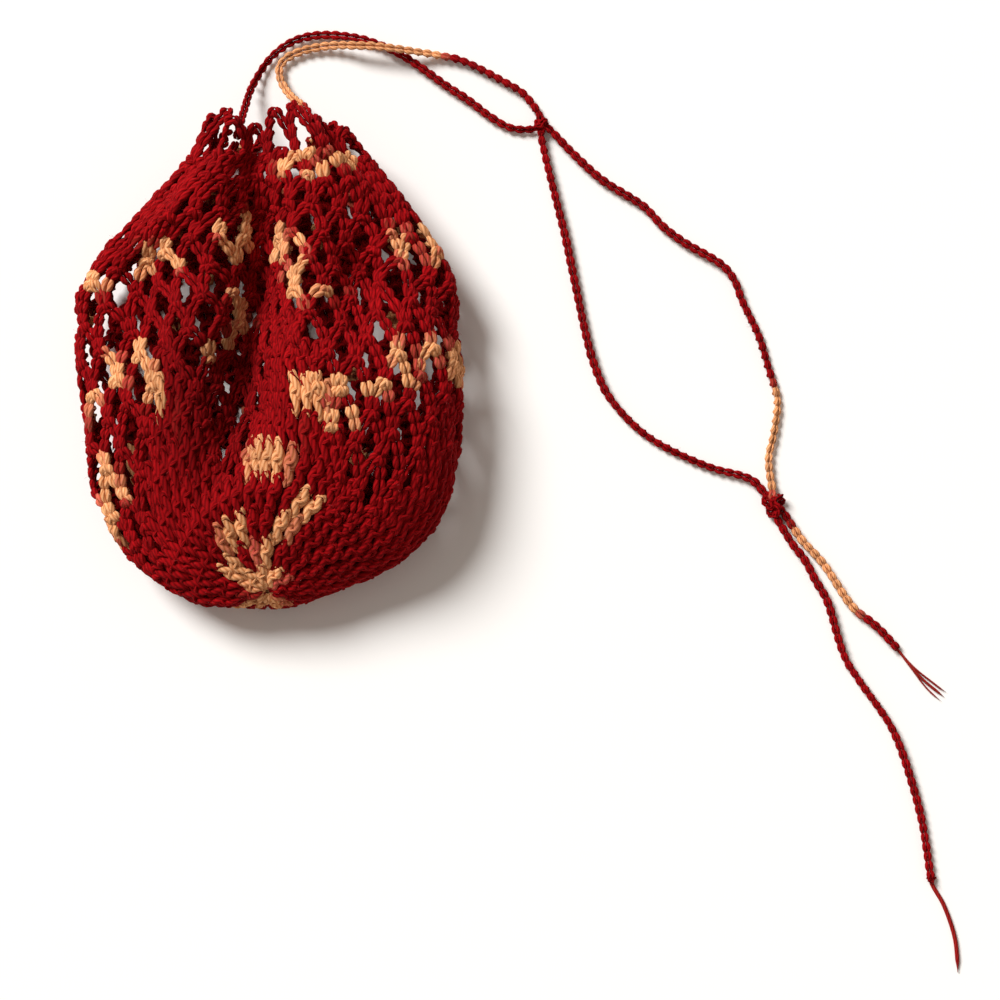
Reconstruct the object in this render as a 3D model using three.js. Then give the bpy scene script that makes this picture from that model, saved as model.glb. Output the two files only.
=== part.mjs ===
// Crochet drawstring pouch, lying on its back with the base towards -Y and the mouth towards +Y.
// Millimetres, +Z up. The origin is under the middle of the pouch, on the surface it lies on.
//
// The pouch is one sheet of crochet. A fabric point is named by its row, counted from the start
// of the round base, and by its turn, a share of the way round that begins at the back, on the
// surface, and passes the left side, the top and the right side.

import * as THREE from 'three';

// Crochet sheet
const SHEET = 2.6;
const CELLS = 30;
const FIRST_NET_ROW = 4;
const NECK_ROW = 15;
const RIM_ROW = 16.1;
const JOINT_WIDTH = 0.21;
const JOINT_HEIGHT = 0.2;
const TIP_WIDTH = 0.3;
const TIP_HEIGHT = 0.22;
const NET_WOBBLE = 0.09;

// Dense triangular points stand between the net gaps. A gap starts at a row, on its own turn,
// and takes in more cells with each row above.
const GAP_TURNS = [0.05, 0.262, 0.452, 0.66, 0.86];
const GAP_START_ROW = 3.3;
const GAP_GROWTH = 0.52;

// Drawstring: a crocheted chain, and the single yarn of its ends
const CORD_WIDTH = 3;
const YARN_WIDTH = 1.6;
const CORD_SIDES = 8;
const CORD_STEP = 6;
const TOUCH_GAP = 0.3;
const CORD_REST = CORD_WIDTH / 2 + 0.05;
const YARN_REST = YARN_WIDTH / 2 + 0.05;

// Sections of the pouch, one for each row. top, left, right and back are the points where the
// section meets the top, the two sides and the back. backZ under zero is laid flat on the surface.
// bend is 1 for a round and 2 for a row that is swept back at the sides.
const SECTION_COLUMNS = [
  'topX', 'topY', 'topZ', 'leftX', 'leftY', 'rightX', 'rightY', 'sideZ', 'backY', 'backZ', 'bend',
];
const SECTIONS = [
  [0, -83, 22, 0, -83, 0, -83, 22, -83, 22, 1],
  [0, -73.5, 28, -10.5, -85.5, 10.5, -83.5, 20, -88.5, 12.5, 1],
  [0, -63.6, 33, -21, -88, 21, -82.5, 16.5, -87, 3.5, 1.2],
  [0, -53.2, 38, -31, -84.5, 31, -79.5, 14.5, -78.5, -1, 1.5],
  [0, -42, 42, -41, -78.5, 41, -75, 14, -68, -3, 1.8],
  [1, -30, 46, -50, -70, 50, -69, 14.5, -57, -4, 2],
  [2, -18, 49, -57.5, -59, 58.8, -59, 15, -46, -4, 2],
  [3, -6.4, 50, -62.5, -46, 64.3, -46.5, 15.5, -35, -4, 2],
  [4, 4.8, 50, -64.3, -32, 66.8, -32, 15.5, -24, -4, 2],
  [4, 15, 49, -65.8, -17, 68, -18, 15, -13, -4, 2],
  [4, 24.4, 47, -67.5, -3, 68.6, -4, 14.5, -1, -4, 2],
  [4, 34.2, 44, -69, 11, 66.2, 10, 14, 11, -4, 2],
  [3, 44.2, 41.5, -67, 25, 65.5, 24, 14, 24, -4, 2],
  [3, 54.4, 39, -55, 40, 59.5, 38, 14, 38, -4, 2],
  [3, 64.6, 37, -39, 57, 47, 56, 15, 52, -3, 1.8],
  [3, 73, 36, -26, 71, 34, 71, 17, 66, -2, 1.6],
  [3, 82, 36, -20.5, 81, 26, 81, 17.5, 76, -1, 1.5],
  [3, 91, 36, -18, 90, 22, 90, 17.5, 84, 0, 1.5],
].map((values) => Object.fromEntries(SECTION_COLUMNS.map((name, i) => [name, values[i]])));

// Folds in the upper side: soft troughs that run up the pouch at x, sunk by depth.
const FOLDS = {
  centre: [
    { row: 3.4, x: -12, depth: 0, width: 10 },
    { row: 4.6, x: -10, depth: 10, width: 9.5 },
    { row: 6, x: -7, depth: 22, width: 8.5 },
    { row: 7.5, x: -7, depth: 28, width: 8 },
    { row: 10, x: -2, depth: 29, width: 8 },
    { row: 12.5, x: -1, depth: 23, width: 7.5 },
    { row: 14, x: -1, depth: 15, width: 7 },
    { row: 17, x: -1, depth: 8, width: 7 },
  ],
  right: [
    { row: 7.6, x: 29, depth: 0, width: 9 },
    { row: 9.5, x: 31, depth: 10, width: 8 },
    { row: 11.2, x: 34, depth: 15, width: 8 },
    { row: 12.6, x: 33, depth: 9, width: 9 },
    { row: 14, x: 29, depth: 2, width: 9 },
    { row: 15.5, x: 24, depth: 0, width: 7 },
  ],
  left: [
    { row: 8.4, x: -42, depth: 0, width: 8 },
    { row: 10, x: -44, depth: 7, width: 7.5 },
    { row: 11.8, x: -42, depth: 8, width: 7.5 },
    { row: 13.2, x: -32, depth: 0, width: 8 },
  ],
  slump: [
    { row: 3, x: -36, depth: 0, width: 24 },
    { row: 6.5, x: -38, depth: 8, width: 24 },
    { row: 11, x: -38, depth: 8, width: 22 },
    { row: 13.6, x: -26, depth: 0, width: 18 },
  ],
};

// Gathers that the drawstring pulls into the neck
const GATHERS = {
  count: 9,
  firstRow: 10,
  fullRow: 14.5,
  height: 2.1,
  crumple: 0.6,
  stretch: 0.12,
};

// Routes of the drawstring on the surface, in order from the neck. A point without z rests.
const LEFT_ROUTE = [
  [-11.6, 78.4, 20], [-10.9, 83, 18.4], [-9.9, 92, 10.5], [-8.6, 99.7, 4.8], [-6.3, 105.3, 2.3],
  [-3, 110.6], [1.4, 115], [7.6, 118.7], [15, 120.4], [22.4, 120.4], [30.1, 119.4], [38.2, 117],
  [46.3, 113.2], [53.7, 108.6], [62.9, 102.1], [72.1, 96.2], [80.2, 90.3], [87.6, 86.5],
  [95.1, 86.2],
];
const RIGHT_ROUTE = [
  [15.4, 84.7, 20], [14.6, 87.6, 18.4], [12.4, 91.2, 15], [8.1, 95.1, 9.5], [4.3, 99.8, 4.8],
  [2, 104.6, 2.3], [1.9, 108.8], [4.3, 111.9], [9.5, 114.5], [16.8, 116.1, 1.8], [23.6, 116.4, 3],
  [30.3, 115.8, 4.9], [37.7, 115.3, 5.6], [45, 114.4, 5.4], [52.3, 113.6, 3.6], [59.6, 112.8, 1.8],
  [68.4, 111], [77.3, 106.9], [85, 102.7], [90.9, 99.2], [95, 94.6], [97.4, 90.8],
];
const INNER_ROUTE = [
  [98.7, 83.3], [100.1, 76.3], [102.3, 67.1], [104.5, 57.9], [107.1, 46.9], [110.8, 28.4],
  [114.8, 9.7], [117.8, -0.7], [122.2, -10.6], [128.1, -18.3], [135.1, -25], [142.1, -29.8],
  [153.2, -35.3], [162.4, -39], [171.6, -41.5], [176.4, -43.6], [180.1, -47.7],
];
const OUTER_ROUTE = [
  [101.2, 85.6], [108.2, 78.5], [120.4, 67.5], [136.6, 57.2], [143.2, 50.2], [150.9, 44.3],
  [165.3, 35.4], [169.4, 29.9], [171.9, 22.9], [178.2, 9.3], [181.9, -2.9], [183.7, -8.4],
  [185, -13.9], [184.5, -21.3], [183.2, -28.7], [181.9, -34.2], [182.1, -39.7], [183.2, -46.2],
];
const LONG_TAIL_ROUTE = [
  [184.9, -57.2], [187.8, -62.4], [190.8, -67.2], [195.3, -72.9], [199.2, -80.2], [203.6, -87.6],
  [208.2, -102.3], [211, -109.7], [215.8, -117.1], [226.1, -131.8], [229.8, -139.2],
  [234.6, -153.9], [238.3, -168.6], [240.7, -183.4], [241.5, -188.4],
];
const SHORT_TAIL_ROUTE = [
  [187.2, -54.9], [191.2, -60.8], [194.6, -65.6], [198.4, -69.6], [202, -73.6], [206.6, -80.4],
  [211.2, -87.6], [214.7, -91.7], [219.1, -95], [223.2, -98.7], [226.8, -102.7], [229.8, -106],
];
const LONG_YARN_ROUTE = [
  [242.6, -192.7], [243.8, -194.9], [246.2, -198.9], [248.9, -205.5], [251, -212.9],
  [251.8, -220.2], [252, -226],
];
const SHORT_YARN_ROUTE = [
  [230.1, -106.3], [233.5, -110.6], [238.3, -116], [243.4, -120.8], [247.1, -123.7],
];

// Knots: middle and half sizes
const KNOTS = {
  upper: { at: [98.4, 87, 2.75], half: [3, 3.3, 2.6] },
  lower: { at: [183.6, -52.2, 2.95], half: [4.6, 5.4, 2.8] },
  tail: { at: [242, -190.6, 1.75], half: [1.9, 1.75, 1.65] },
};

// The drawstring lies inside the neck, round the back, and leaves by the mouth.
const NECK_RUN = { x: 3, y: 72.5, z: 14.2, halfWidth: 21, halfHeight: 9.6, openFrom: -1.05, openTo: 1 };

const COLOURS = { wool: 0x94070f, cord: 0x8a0a12, tail: 0x9a1a20, peach: 0xd99a66 };

const finish = (colour) => new THREE.MeshStandardMaterial({
  color: colour,
  roughness: 0.9,
  metalness: 0,
});

const lerp = (from, to, share) => from + (to - from) * share;

const ease = (share) => {
  const t = Math.min(Math.max(share, 0), 1);
  return t * t * (3 - 2 * t);
};

// Smooth value of one section column at any row
function column(name, row) {
  const last = SECTIONS.length - 1;
  const start = Math.min(Math.max(Math.floor(row), 0), last - 1);
  const t = row - start;
  const value = (i) => SECTIONS[Math.min(Math.max(i, 0), last)][name];
  const [a, b, c, d] = [value(start - 1), value(start), value(start + 1), value(start + 2)];
  return b + 0.5 * t * (c - a + t * (2 * a - 5 * b + 4 * c - d + t * (3 * (b - c) + d - a)));
}

// Depth of one fold at a row and an x
function foldDepth(stations, row, x) {
  const last = stations.length - 1;
  if (row <= stations[0].row) {
    return 0;
  }
  let i = 0;
  while (i < last - 1 && row > stations[i + 1].row) {
    i += 1;
  }
  const [from, to] = [stations[i], stations[i + 1]];
  const share = ease((row - from.row) / (to.row - from.row));
  const width = lerp(from.width, to.width, share);
  const off = (x - lerp(from.x, to.x, share)) / width;
  return lerp(from.depth, to.depth, share) * Math.exp(-0.5 * off * off);
}

// Point on the middle of the sheet. The angle is 0 at the top and a quarter turn at the right.
function sheetPoint(angle, row) {
  const get = (name) => column(name, row);
  const sine = Math.sin(angle);
  const cosine = Math.cos(angle);
  const side = sine > 0 ? 'right' : 'left';
  const end = cosine > 0 ? 'top' : 'back';
  const reach = Math.abs(cosine) ** get('bend');
  const width = Math.abs(get(`${side}X`) - get('topX'));
  const height = get(`${end}Z`) - get('sideZ');
  const gathering = ease((row - GATHERS.firstRow) / (GATHERS.fullRow - GATHERS.firstRow));
  const phase = GATHERS.count * (angle + GATHERS.stretch * Math.sin(2 * angle));
  const crumple = GATHERS.crumple * ease((row - 7) / 3) * Math.sin(7 * angle + 1.9 * row);
  const wave = GATHERS.height * gathering * Math.cos(phase) + crumple;
  const x = get('topX') + (width + wave) * sine;
  const y = lerp(get(`${side}Y`), get(`${end}Y`), reach);
  const upper = ease(cosine / 0.45);
  const sunk = Object.values(FOLDS).reduce((sum, fold) => sum + foldDepth(fold, row, x), 0);
  const z = get('sideZ') + (height + wave * Math.sign(height)) * Math.abs(cosine) - upper * sunk;
  return new THREE.Vector3(x, y, Math.max(z, SHEET / 2));
}

// Outward direction of the sheet
function sheetNormal(angle, row) {
  const step = 0.004;
  const across = sheetPoint(angle + step, row).sub(sheetPoint(angle - step, row));
  const along = sheetPoint(angle, row + step).sub(sheetPoint(angle, row - step));
  return across.cross(along).normalize();
}

// Angle of a turn, by even length of fabric round each row
const LEVELS_PER_ROW = 4;
const SAMPLES = 240;
const roundTables = [];
for (let level = 0; level <= 17 * LEVELS_PER_ROW; level += 1) {
  const row = Math.max(level / LEVELS_PER_ROW, 0.05);
  const lengths = [0];
  let previous = sheetPoint(Math.PI, row);
  for (let i = 1; i <= SAMPLES; i += 1) {
    const point = sheetPoint(Math.PI + (i / SAMPLES) * 2 * Math.PI, row);
    lengths.push(lengths[i - 1] + point.distanceTo(previous));
    previous = point;
  }
  roundTables.push(lengths.map((length) => length / lengths[SAMPLES]));
}

function turnToSample(lengths, turn) {
  let i = 0;
  while (i < SAMPLES - 1 && lengths[i + 1] < turn) {
    i += 1;
  }
  return i + (turn - lengths[i]) / (lengths[i + 1] - lengths[i]);
}

function angleAt(turn, row) {
  const level = Math.min(Math.max(row, 0), 16.99) * LEVELS_PER_ROW;
  const low = Math.floor(level);
  const whole = Math.floor(turn);
  const rest = turn - whole;
  const below = turnToSample(roundTables[low], rest);
  const above = turnToSample(roundTables[low + 1], rest);
  return Math.PI + 2 * Math.PI * (whole + lerp(below, above, level - low) / SAMPLES);
}

// The pouch: a sheet of joints and strands, dense where the cells between them are filled
function pouchGeometry() {
  const middle = [];
  const normals = [];
  const faces = [];

  const vertex = (turn, row) => {
    const angle = angleAt(turn, row);
    middle.push(sheetPoint(angle, row));
    normals.push(sheetNormal(angle, row));
    return middle.length - 1;
  };
  const ring = (count, row) => Array.from({ length: count }, (_, i) => vertex(i / count, row));
  const at = (list, i) => list[(i + list.length) % list.length];

  // Round base, from its middle out
  const baseRings = [[15, 0.5], [15, 1], [30, 1.5], [30, 2], [30, 2.5], [60, 3.1]]
    .map(([count, row]) => ring(count, row));
  middle.push(sheetPoint(0, 0));
  normals.push(baseRings[0].reduce((sum, i) => sum.add(normals[i]), new THREE.Vector3()).normalize());
  const centre = middle.length - 1;
  baseRings[0].forEach((start, i) => faces.push([centre, start, at(baseRings[0], i + 1)].reverse()));
  for (let r = 0; r < baseRings.length - 1; r += 1) {
    const [inner, outer] = [baseRings[r], baseRings[r + 1]];
    inner.forEach((start, i) => {
      const next = at(inner, i + 1);
      if (outer.length === inner.length) {
        faces.push([start, next, at(outer, i + 1), outer[i]]);
      } else {
        faces.push([start, outer[2 * i + 1], outer[2 * i]]);
        faces.push([start, next, outer[2 * i + 1]]);
        faces.push([next, at(outer, 2 * i + 2), outer[2 * i + 1]]);
      }
    });
  }

  // Joints of the net, a row of diamonds in brick order
  const joint = (turn, row, width, height) => ({
    top: vertex(turn, row + height),
    right: vertex(turn + width / CELLS, row),
    bottom: vertex(turn, row - height),
    left: vertex(turn - width / CELLS, row),
  });
  const joints = [];
  for (let row = FIRST_NET_ROW; row <= NECK_ROW; row += 1) {
    const wobble = row > FIRST_NET_ROW + 1 ? NET_WOBBLE : 0;
    joints.push(Array.from({ length: CELLS }, (_, i) => {
      const offTurn = wobble * Math.sin(3.1 * i + 1.7 * row);
      const offRow = wobble * Math.sin(2.3 * i + 4.1 * row);
      const turn = (i + (row % 2) / 2 + offTurn) / CELLS;
      return joint(turn, row + offRow, JOINT_WIDTH, JOINT_HEIGHT);
    }));
  }
  const diamond = (j) => [j.bottom, j.right, j.top, j.left];
  const strandRight = (low, high) => [low.right, high.bottom, high.left, low.top];
  const strandLeft = (low, high) => [low.top, high.right, high.bottom, low.left];
  joints.flat().forEach((j) => faces.push(diamond(j)));

  // Strip between the base and the first joints
  const rim = baseRings[baseRings.length - 1];
  const feet = joints[0].map((_, i) => vertex((i + 0.5) / CELLS, FIRST_NET_ROW - JOINT_HEIGHT));
  joints[0].forEach((j, i) => {
    const [under, between, next] = [rim[2 * i], rim[2 * i + 1], at(rim, 2 * i + 2)];
    const nextJoint = at(joints[0], i + 1);
    faces.push([under, between, j.right], [under, j.right, j.bottom], [between, feet[i], j.right]);
    faces.push([between, next, nextJoint.left], [between, nextJoint.left, feet[i]]);
    faces.push([next, nextJoint.bottom, nextJoint.left]);
  });

  // Strands, and the cells that dense crochet fills
  const isOpen = (turn, row) => {
    const distances = GAP_TURNS.map((axis) => Math.abs(((turn - axis + 1.5) % 1) - 0.5));
    return Math.min(...distances) * CELLS <= GAP_GROWTH * (row - GAP_START_ROW);
  };
  joints.slice(0, -1).forEach((list, level) => {
    const row = FIRST_NET_ROW + level;
    const above = joints[level + 1];
    const odd = row % 2;
    list.forEach((j, i) => {
      const upRight = at(above, i + odd);
      const upLeft = at(above, i + odd - 1);
      faces.push(strandRight(j, upRight), strandLeft(j, upLeft));
      if (!isOpen((i + 0.5 + odd / 2) / CELLS, row)) {
        const foot = level === 0 ? feet[i] : at(joints[level - 1], i + odd).top;
        faces.push([foot, at(list, i + 1).left, upRight.bottom, j.right]);
      }
    });
  });

  // Long loops of the last round, each over two cells
  const neck = joints[joints.length - 1];
  for (let i = 0; i < CELLS; i += 2) {
    const length = RIM_ROW + 0.35 * Math.sin(2.4 * i + 0.6);
    const turn = (i + 1.5 + 0.25 * Math.sin(1.9 * i)) / CELLS;
    const tip = joint(turn, length, TIP_WIDTH, TIP_HEIGHT);
    faces.push(diamond(tip), strandRight(neck[i], tip), strandLeft(at(neck, i + 2), tip));
  }

  return sheetSolid(middle, normals, faces);
}

// Gives a surface its thickness: an outer skin, an inner skin and a wall along every edge
function sheetSolid(middle, normals, faces) {
  const count = middle.length;
  const points = [0.5, -0.5].flatMap((side) => middle.map(
    (point, i) => point.clone().addScaledVector(normals[i], side * SHEET),
  ));
  const triangles = [];
  const edges = new Map();
  faces.forEach((face) => {
    for (let i = 1; i < face.length - 1; i += 1) {
      triangles.push([face[0], face[i], face[i + 1]]);
      triangles.push([face[0] + count, face[i + 1] + count, face[i] + count]);
    }
    face.forEach((start, i) => {
      const end = face[(i + 1) % face.length];
      edges.set(`${start},${end}`, [start, end]);
    });
  });
  edges.forEach(([start, end]) => {
    if (!edges.has(`${end},${start}`)) {
      triangles.push([end, start, start + count], [end, start + count, end + count]);
    }
  });
  const geometry = new THREE.BufferGeometry();
  geometry.setAttribute('position', new THREE.Float32BufferAttribute(
    points.flatMap((point) => point.toArray()),
    3,
  ));
  geometry.setIndex(triangles.flat());
  return geometry;
}

// A cord along its route. A route point without a height rests on the surface.
function cordGeometry(route, width, rest) {
  const points = route.map(([x, y, z = rest]) => new THREE.Vector3(x, y, z));
  const path = new THREE.CatmullRomCurve3(points, false, 'centripetal');
  const radius = width / 2;
  const section = new THREE.Shape(Array.from({ length: CORD_SIDES }, (_, i) => {
    const angle = ((i + 0.5) / CORD_SIDES) * 2 * Math.PI;
    return new THREE.Vector2(radius * Math.cos(angle), radius * Math.sin(angle));
  }));
  const steps = Math.max(Math.round(path.getLength() / CORD_STEP), 2);
  return new THREE.ExtrudeGeometry(section, { steps, bevelEnabled: false, extrudePath: path });
}

// A knot: a lump with the raised turns of the cord round it
function knotGeometry({ at, half }) {
  const geometry = new THREE.SphereGeometry(1, 14, 9);
  const position = geometry.attributes.position;
  const point = new THREE.Vector3();
  for (let i = 0; i < position.count; i += 1) {
    point.fromBufferAttribute(position, i);
    const round = Math.atan2(point.y, point.x);
    const girth = Math.hypot(point.x, point.y);
    const turns = 1 + 0.13 * girth * Math.cos(3 * round + 4 * point.z) - 0.13 * girth;
    point.multiplyScalar(turns);
    position.setXYZ(i, at[0] + half[0] * point.x, at[1] + half[1] * point.y, at[2] + half[2] * point.z);
  }
  return geometry;
}

// Open ring inside the neck, from the left exit round the back to the right exit
function neckRoute() {
  const run = NECK_RUN;
  const count = 17;
  const inside = Array.from({ length: count }, (_, i) => {
    const angle = lerp(run.openFrom, run.openTo - 2 * Math.PI, i / (count - 1));
    return [
      run.x + run.halfWidth * Math.sin(angle),
      run.y,
      run.z + run.halfHeight * Math.cos(angle),
    ];
  });
  const before = ([exit, next], distance) => {
    const start = new THREE.Vector3(...exit);
    const away = start.clone().sub(new THREE.Vector3(...next)).normalize();
    return start.addScaledVector(away, distance).toArray();
  };
  const lead = 3;
  return [
    before(LEFT_ROUTE, TOUCH_GAP),
    before(LEFT_ROUTE, lead),
    ...inside,
    before(RIGHT_ROUTE, lead),
    before(RIGHT_ROUTE, TOUCH_GAP),
  ];
}

const part = new THREE.Group();

function add(name, geometry, colour) {
  const mesh = new THREE.Mesh(geometry, finish(colour));
  mesh.name = name;
  part.add(mesh);
  return mesh;
}

const pouch = add('pouch', pouchGeometry(), COLOURS.wool);

const CORDS = [
  ['drawstring_neck', neckRoute(), CORD_WIDTH, CORD_REST, COLOURS.cord],
  ['drawstring_left', LEFT_ROUTE, CORD_WIDTH, CORD_REST, COLOURS.cord],
  ['drawstring_right', RIGHT_ROUTE, CORD_WIDTH, CORD_REST, COLOURS.peach],
  ['strand_inner', INNER_ROUTE, CORD_WIDTH, CORD_REST, COLOURS.cord],
  ['strand_outer', OUTER_ROUTE, CORD_WIDTH, CORD_REST, COLOURS.cord],
  ['tail_long', LONG_TAIL_ROUTE, CORD_WIDTH, CORD_REST, COLOURS.tail],
  ['tail_short', SHORT_TAIL_ROUTE, CORD_WIDTH, CORD_REST, COLOURS.peach],
  ['yarn_long', LONG_YARN_ROUTE, YARN_WIDTH, YARN_REST, COLOURS.tail],
  ['yarn_short', SHORT_YARN_ROUTE, YARN_WIDTH, YARN_REST, COLOURS.tail],
];
CORDS.forEach(([name, route, width, rest, colour]) => {
  add(name, cordGeometry(route, width, rest), colour);
});

Object.entries(KNOTS).forEach(([name, knot]) => {
  add(`knot_${name}`, knotGeometry(knot), COLOURS.cord);
});

// Puts the origin under the middle of the pouch
pouch.geometry.computeBoundingBox();
const middle = pouch.geometry.boundingBox.getCenter(new THREE.Vector3());
part.children.forEach((mesh) => mesh.geometry.translate(-middle.x, -middle.y, 0));

export default part;
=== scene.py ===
"""A crochet drawstring pouch lying on its back, with its cord laid out beside it.

Lengths in the tables are millimetres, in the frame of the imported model: the base points to -Y,
the mouth to +Y, and the surface is Z = 0. A fabric point is named by its turn, a share of the way
round from the back by the left side, the top and the right side, and by its row from the base.
"""

import math

import bpy
import numpy as np
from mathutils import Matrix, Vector


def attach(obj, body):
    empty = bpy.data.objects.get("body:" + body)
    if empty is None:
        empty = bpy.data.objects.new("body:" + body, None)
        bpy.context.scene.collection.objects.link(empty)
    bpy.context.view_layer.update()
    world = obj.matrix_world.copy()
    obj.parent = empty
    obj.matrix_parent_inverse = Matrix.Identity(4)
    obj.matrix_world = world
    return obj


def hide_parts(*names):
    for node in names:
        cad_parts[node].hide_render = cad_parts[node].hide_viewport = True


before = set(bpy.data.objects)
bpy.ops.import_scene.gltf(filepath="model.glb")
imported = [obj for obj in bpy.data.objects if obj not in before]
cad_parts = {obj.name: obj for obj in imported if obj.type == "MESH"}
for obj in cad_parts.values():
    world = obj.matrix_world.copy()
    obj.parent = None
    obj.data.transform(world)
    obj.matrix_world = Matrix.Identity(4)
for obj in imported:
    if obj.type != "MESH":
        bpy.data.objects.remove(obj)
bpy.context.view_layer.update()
rng = np.random.default_rng(7)

MM = 0.001
LOWEST = 0.05  # yarn stays this far above the surface
FLATTENED = 0.7  # how soft the yarn is where it lies on the surface
MIDDLE = np.array([-0.019, -0.709, 0.0])

# Camera: straight down, its lens and height as the picture was taken
CAMERA_AT = (83.16, -50.76, 718.0)
CAMERA_LENS = 70
CAMERA_SENSOR = 36


def place_camera():
    data = bpy.data.cameras.new("camera")
    data.lens = CAMERA_LENS
    data.sensor_width = CAMERA_SENSOR
    data.clip_start = 0.01
    camera = bpy.data.objects.new("camera", data)
    camera.location = (np.array(CAMERA_AT) - MIDDLE) * MM
    bpy.context.collection.objects.link(camera)
    bpy.context.scene.camera = camera


place_camera()

# Sections of the pouch, one for each row, as in the solids
SECTION_COLUMNS = (
    "topX topY topZ leftX leftY rightX rightY sideZ backY backZ bend".split()
)
SECTIONS = np.array([
    [0, -83, 22, 0, -83, 0, -83, 22, -83, 22, 1],
    [0, -73.5, 28, -10.5, -85.5, 10.5, -83.5, 20, -88.5, 12.5, 1],
    [0, -63.6, 33, -21, -88, 21, -82.5, 16.5, -87, 3.5, 1.2],
    [0, -53.2, 38, -31, -84.5, 31, -79.5, 14.5, -78.5, -1, 1.5],
    [0, -42, 42, -41, -78.5, 41, -75, 14, -68, -3, 1.8],
    [1, -30, 46, -50, -70, 50, -69, 14.5, -57, -4, 2],
    [2, -18, 49, -57.5, -59, 58.8, -59, 15, -46, -4, 2],
    [3, -6.4, 50, -62.5, -46, 64.3, -46.5, 15.5, -35, -4, 2],
    [4, 4.8, 50, -64.3, -32, 66.8, -32, 15.5, -24, -4, 2],
    [4, 15, 49, -65.8, -17, 68, -18, 15, -13, -4, 2],
    [4, 24.4, 47, -67.5, -3, 68.6, -4, 14.5, -1, -4, 2],
    [4, 34.2, 44, -69, 11, 66.2, 10, 14, 11, -4, 2],
    [3, 44.2, 41.5, -67, 25, 65.5, 24, 14, 24, -4, 2],
    [3, 54.4, 39, -55, 40, 59.5, 38, 14, 38, -4, 2],
    [3, 64.6, 37, -39, 57, 47, 56, 15, 52, -3, 1.8],
    [3, 73, 36, -26, 71, 34, 71, 17, 66, -2, 1.6],
    [3, 82, 36, -20.5, 81, 26, 81, 17.5, 76, -1, 1.5],
    [3, 91, 36, -18, 90, 22, 90, 17.5, 84, 0, 1.5],
], float)

# Folds in the upper side: columns row, x, depth, width
FOLDS = {
    "centre": [
        [3.4, -12, 0, 10], [4.6, -10, 10, 9.5], [6, -7, 22, 8.5], [7.5, -7, 28, 8],
        [10, -2, 29, 8], [12.5, -1, 23, 7.5], [14, -1, 15, 7], [17, -1, 8, 7],
    ],
    "right": [
        [7.6, 29, 0, 9], [9.5, 31, 10, 8], [11.2, 34, 15, 8], [12.6, 33, 9, 9],
        [14, 29, 2, 9], [15.5, 24, 0, 7],
    ],
    "left": [[8.4, -42, 0, 8], [10, -44, 7, 7.5], [11.8, -42, 8, 7.5], [13.2, -32, 0, 8]],
    "slump": [[3, -36, 0, 24], [6.5, -38, 8, 24], [11, -38, 8, 22], [13.6, -26, 0, 18]],
}
GATHERS = {
    "count": 9, "firstRow": 10, "fullRow": 14.5, "height": 2.1, "crumple": 0.6, "stretch": 0.12,
}
SHEET = 2.6
CELLS = 30
FIRST_NET_ROW = 4
NET_SPLIT_ROW = 10
NECK_ROW = 15
RIM_ROW = 16.1
NET_WOBBLE = 0.09
MOST_STITCHES = 78
GAP_TURNS = np.array([0.05, 0.262, 0.452, 0.66, 0.86])
GAP_START_ROW = 3.3
GAP_GROWTH = 0.52
# How far each kind of work reaches over the edge of a gap, in cells
NET_LIMIT, TIE_LIMIT, DENSE_LIMIT, GROUND_LIMIT = 0.62, 0.5, -0.05, 0.05
GROUND_DEPTH = 0.7


def ease(share):
    t = np.clip(share, 0, 1)
    return t * t * (3 - 2 * t)


def column(name, row):
    """Smooth value of one section column at any row."""
    values = SECTIONS[:, SECTION_COLUMNS.index(name)]
    last = len(values) - 1
    start = np.clip(np.floor(row).astype(int), 0, last - 1)
    t = row - start
    a, b, c, d = (values[np.clip(start + step, 0, last)] for step in (-1, 0, 1, 2))
    return b + 0.5 * t * (c - a + t * (2 * a - 5 * b + 4 * c - d + t * (3 * (b - c) + d - a)))


def fold_depth(stations, row, x):
    stations = np.array(stations, float)
    rows = stations[:, 0]
    i = np.clip(np.searchsorted(rows, row) - 1, 0, len(rows) - 2)
    share = ease((row - rows[i]) / (rows[i + 1] - rows[i]))[..., None]
    now = stations[i] + (stations[i + 1] - stations[i]) * share
    off = (x - now[..., 1]) / now[..., 3]
    return np.where(row <= rows[0], 0, now[..., 2] * np.exp(-0.5 * off * off))


def sheet_point(angle, row):
    """Point on the middle of the sheet. The angle is 0 at the top and a quarter at the right."""
    sine, cosine = np.sin(angle), np.cos(angle)

    def side(name):
        return np.where(sine > 0, column("right" + name, row), column("left" + name, row))

    def end(name):
        return np.where(cosine > 0, column("top" + name, row), column("back" + name, row))

    top_x, side_z = column("topX", row), column("sideZ", row)
    reach = np.abs(cosine) ** column("bend", row)
    gathering = ease(
        (row - GATHERS["firstRow"]) / (GATHERS["fullRow"] - GATHERS["firstRow"])
    )
    phase = GATHERS["count"] * (angle + GATHERS["stretch"] * np.sin(2 * angle))
    crumple = GATHERS["crumple"] * ease((row - 7) / 3) * np.sin(7 * angle + 1.9 * row)
    wave = GATHERS["height"] * gathering * np.cos(phase) + crumple
    height = end("Z") - side_z
    x = top_x + (np.abs(side("X") - top_x) + wave) * sine
    y = side("Y") + (end("Y") - side("Y")) * reach
    sunk = sum(fold_depth(stations, row, x) for stations in FOLDS.values())
    z = side_z + (height + wave * np.sign(height)) * np.abs(cosine)
    z = np.maximum(z - ease(cosine / 0.45) * sunk, SHEET / 2)
    return np.stack([x, y, z], -1)


# The sheet as a grid of points and outward directions, even in length round each row
TURNS = 720
LEVELS = 8


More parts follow.
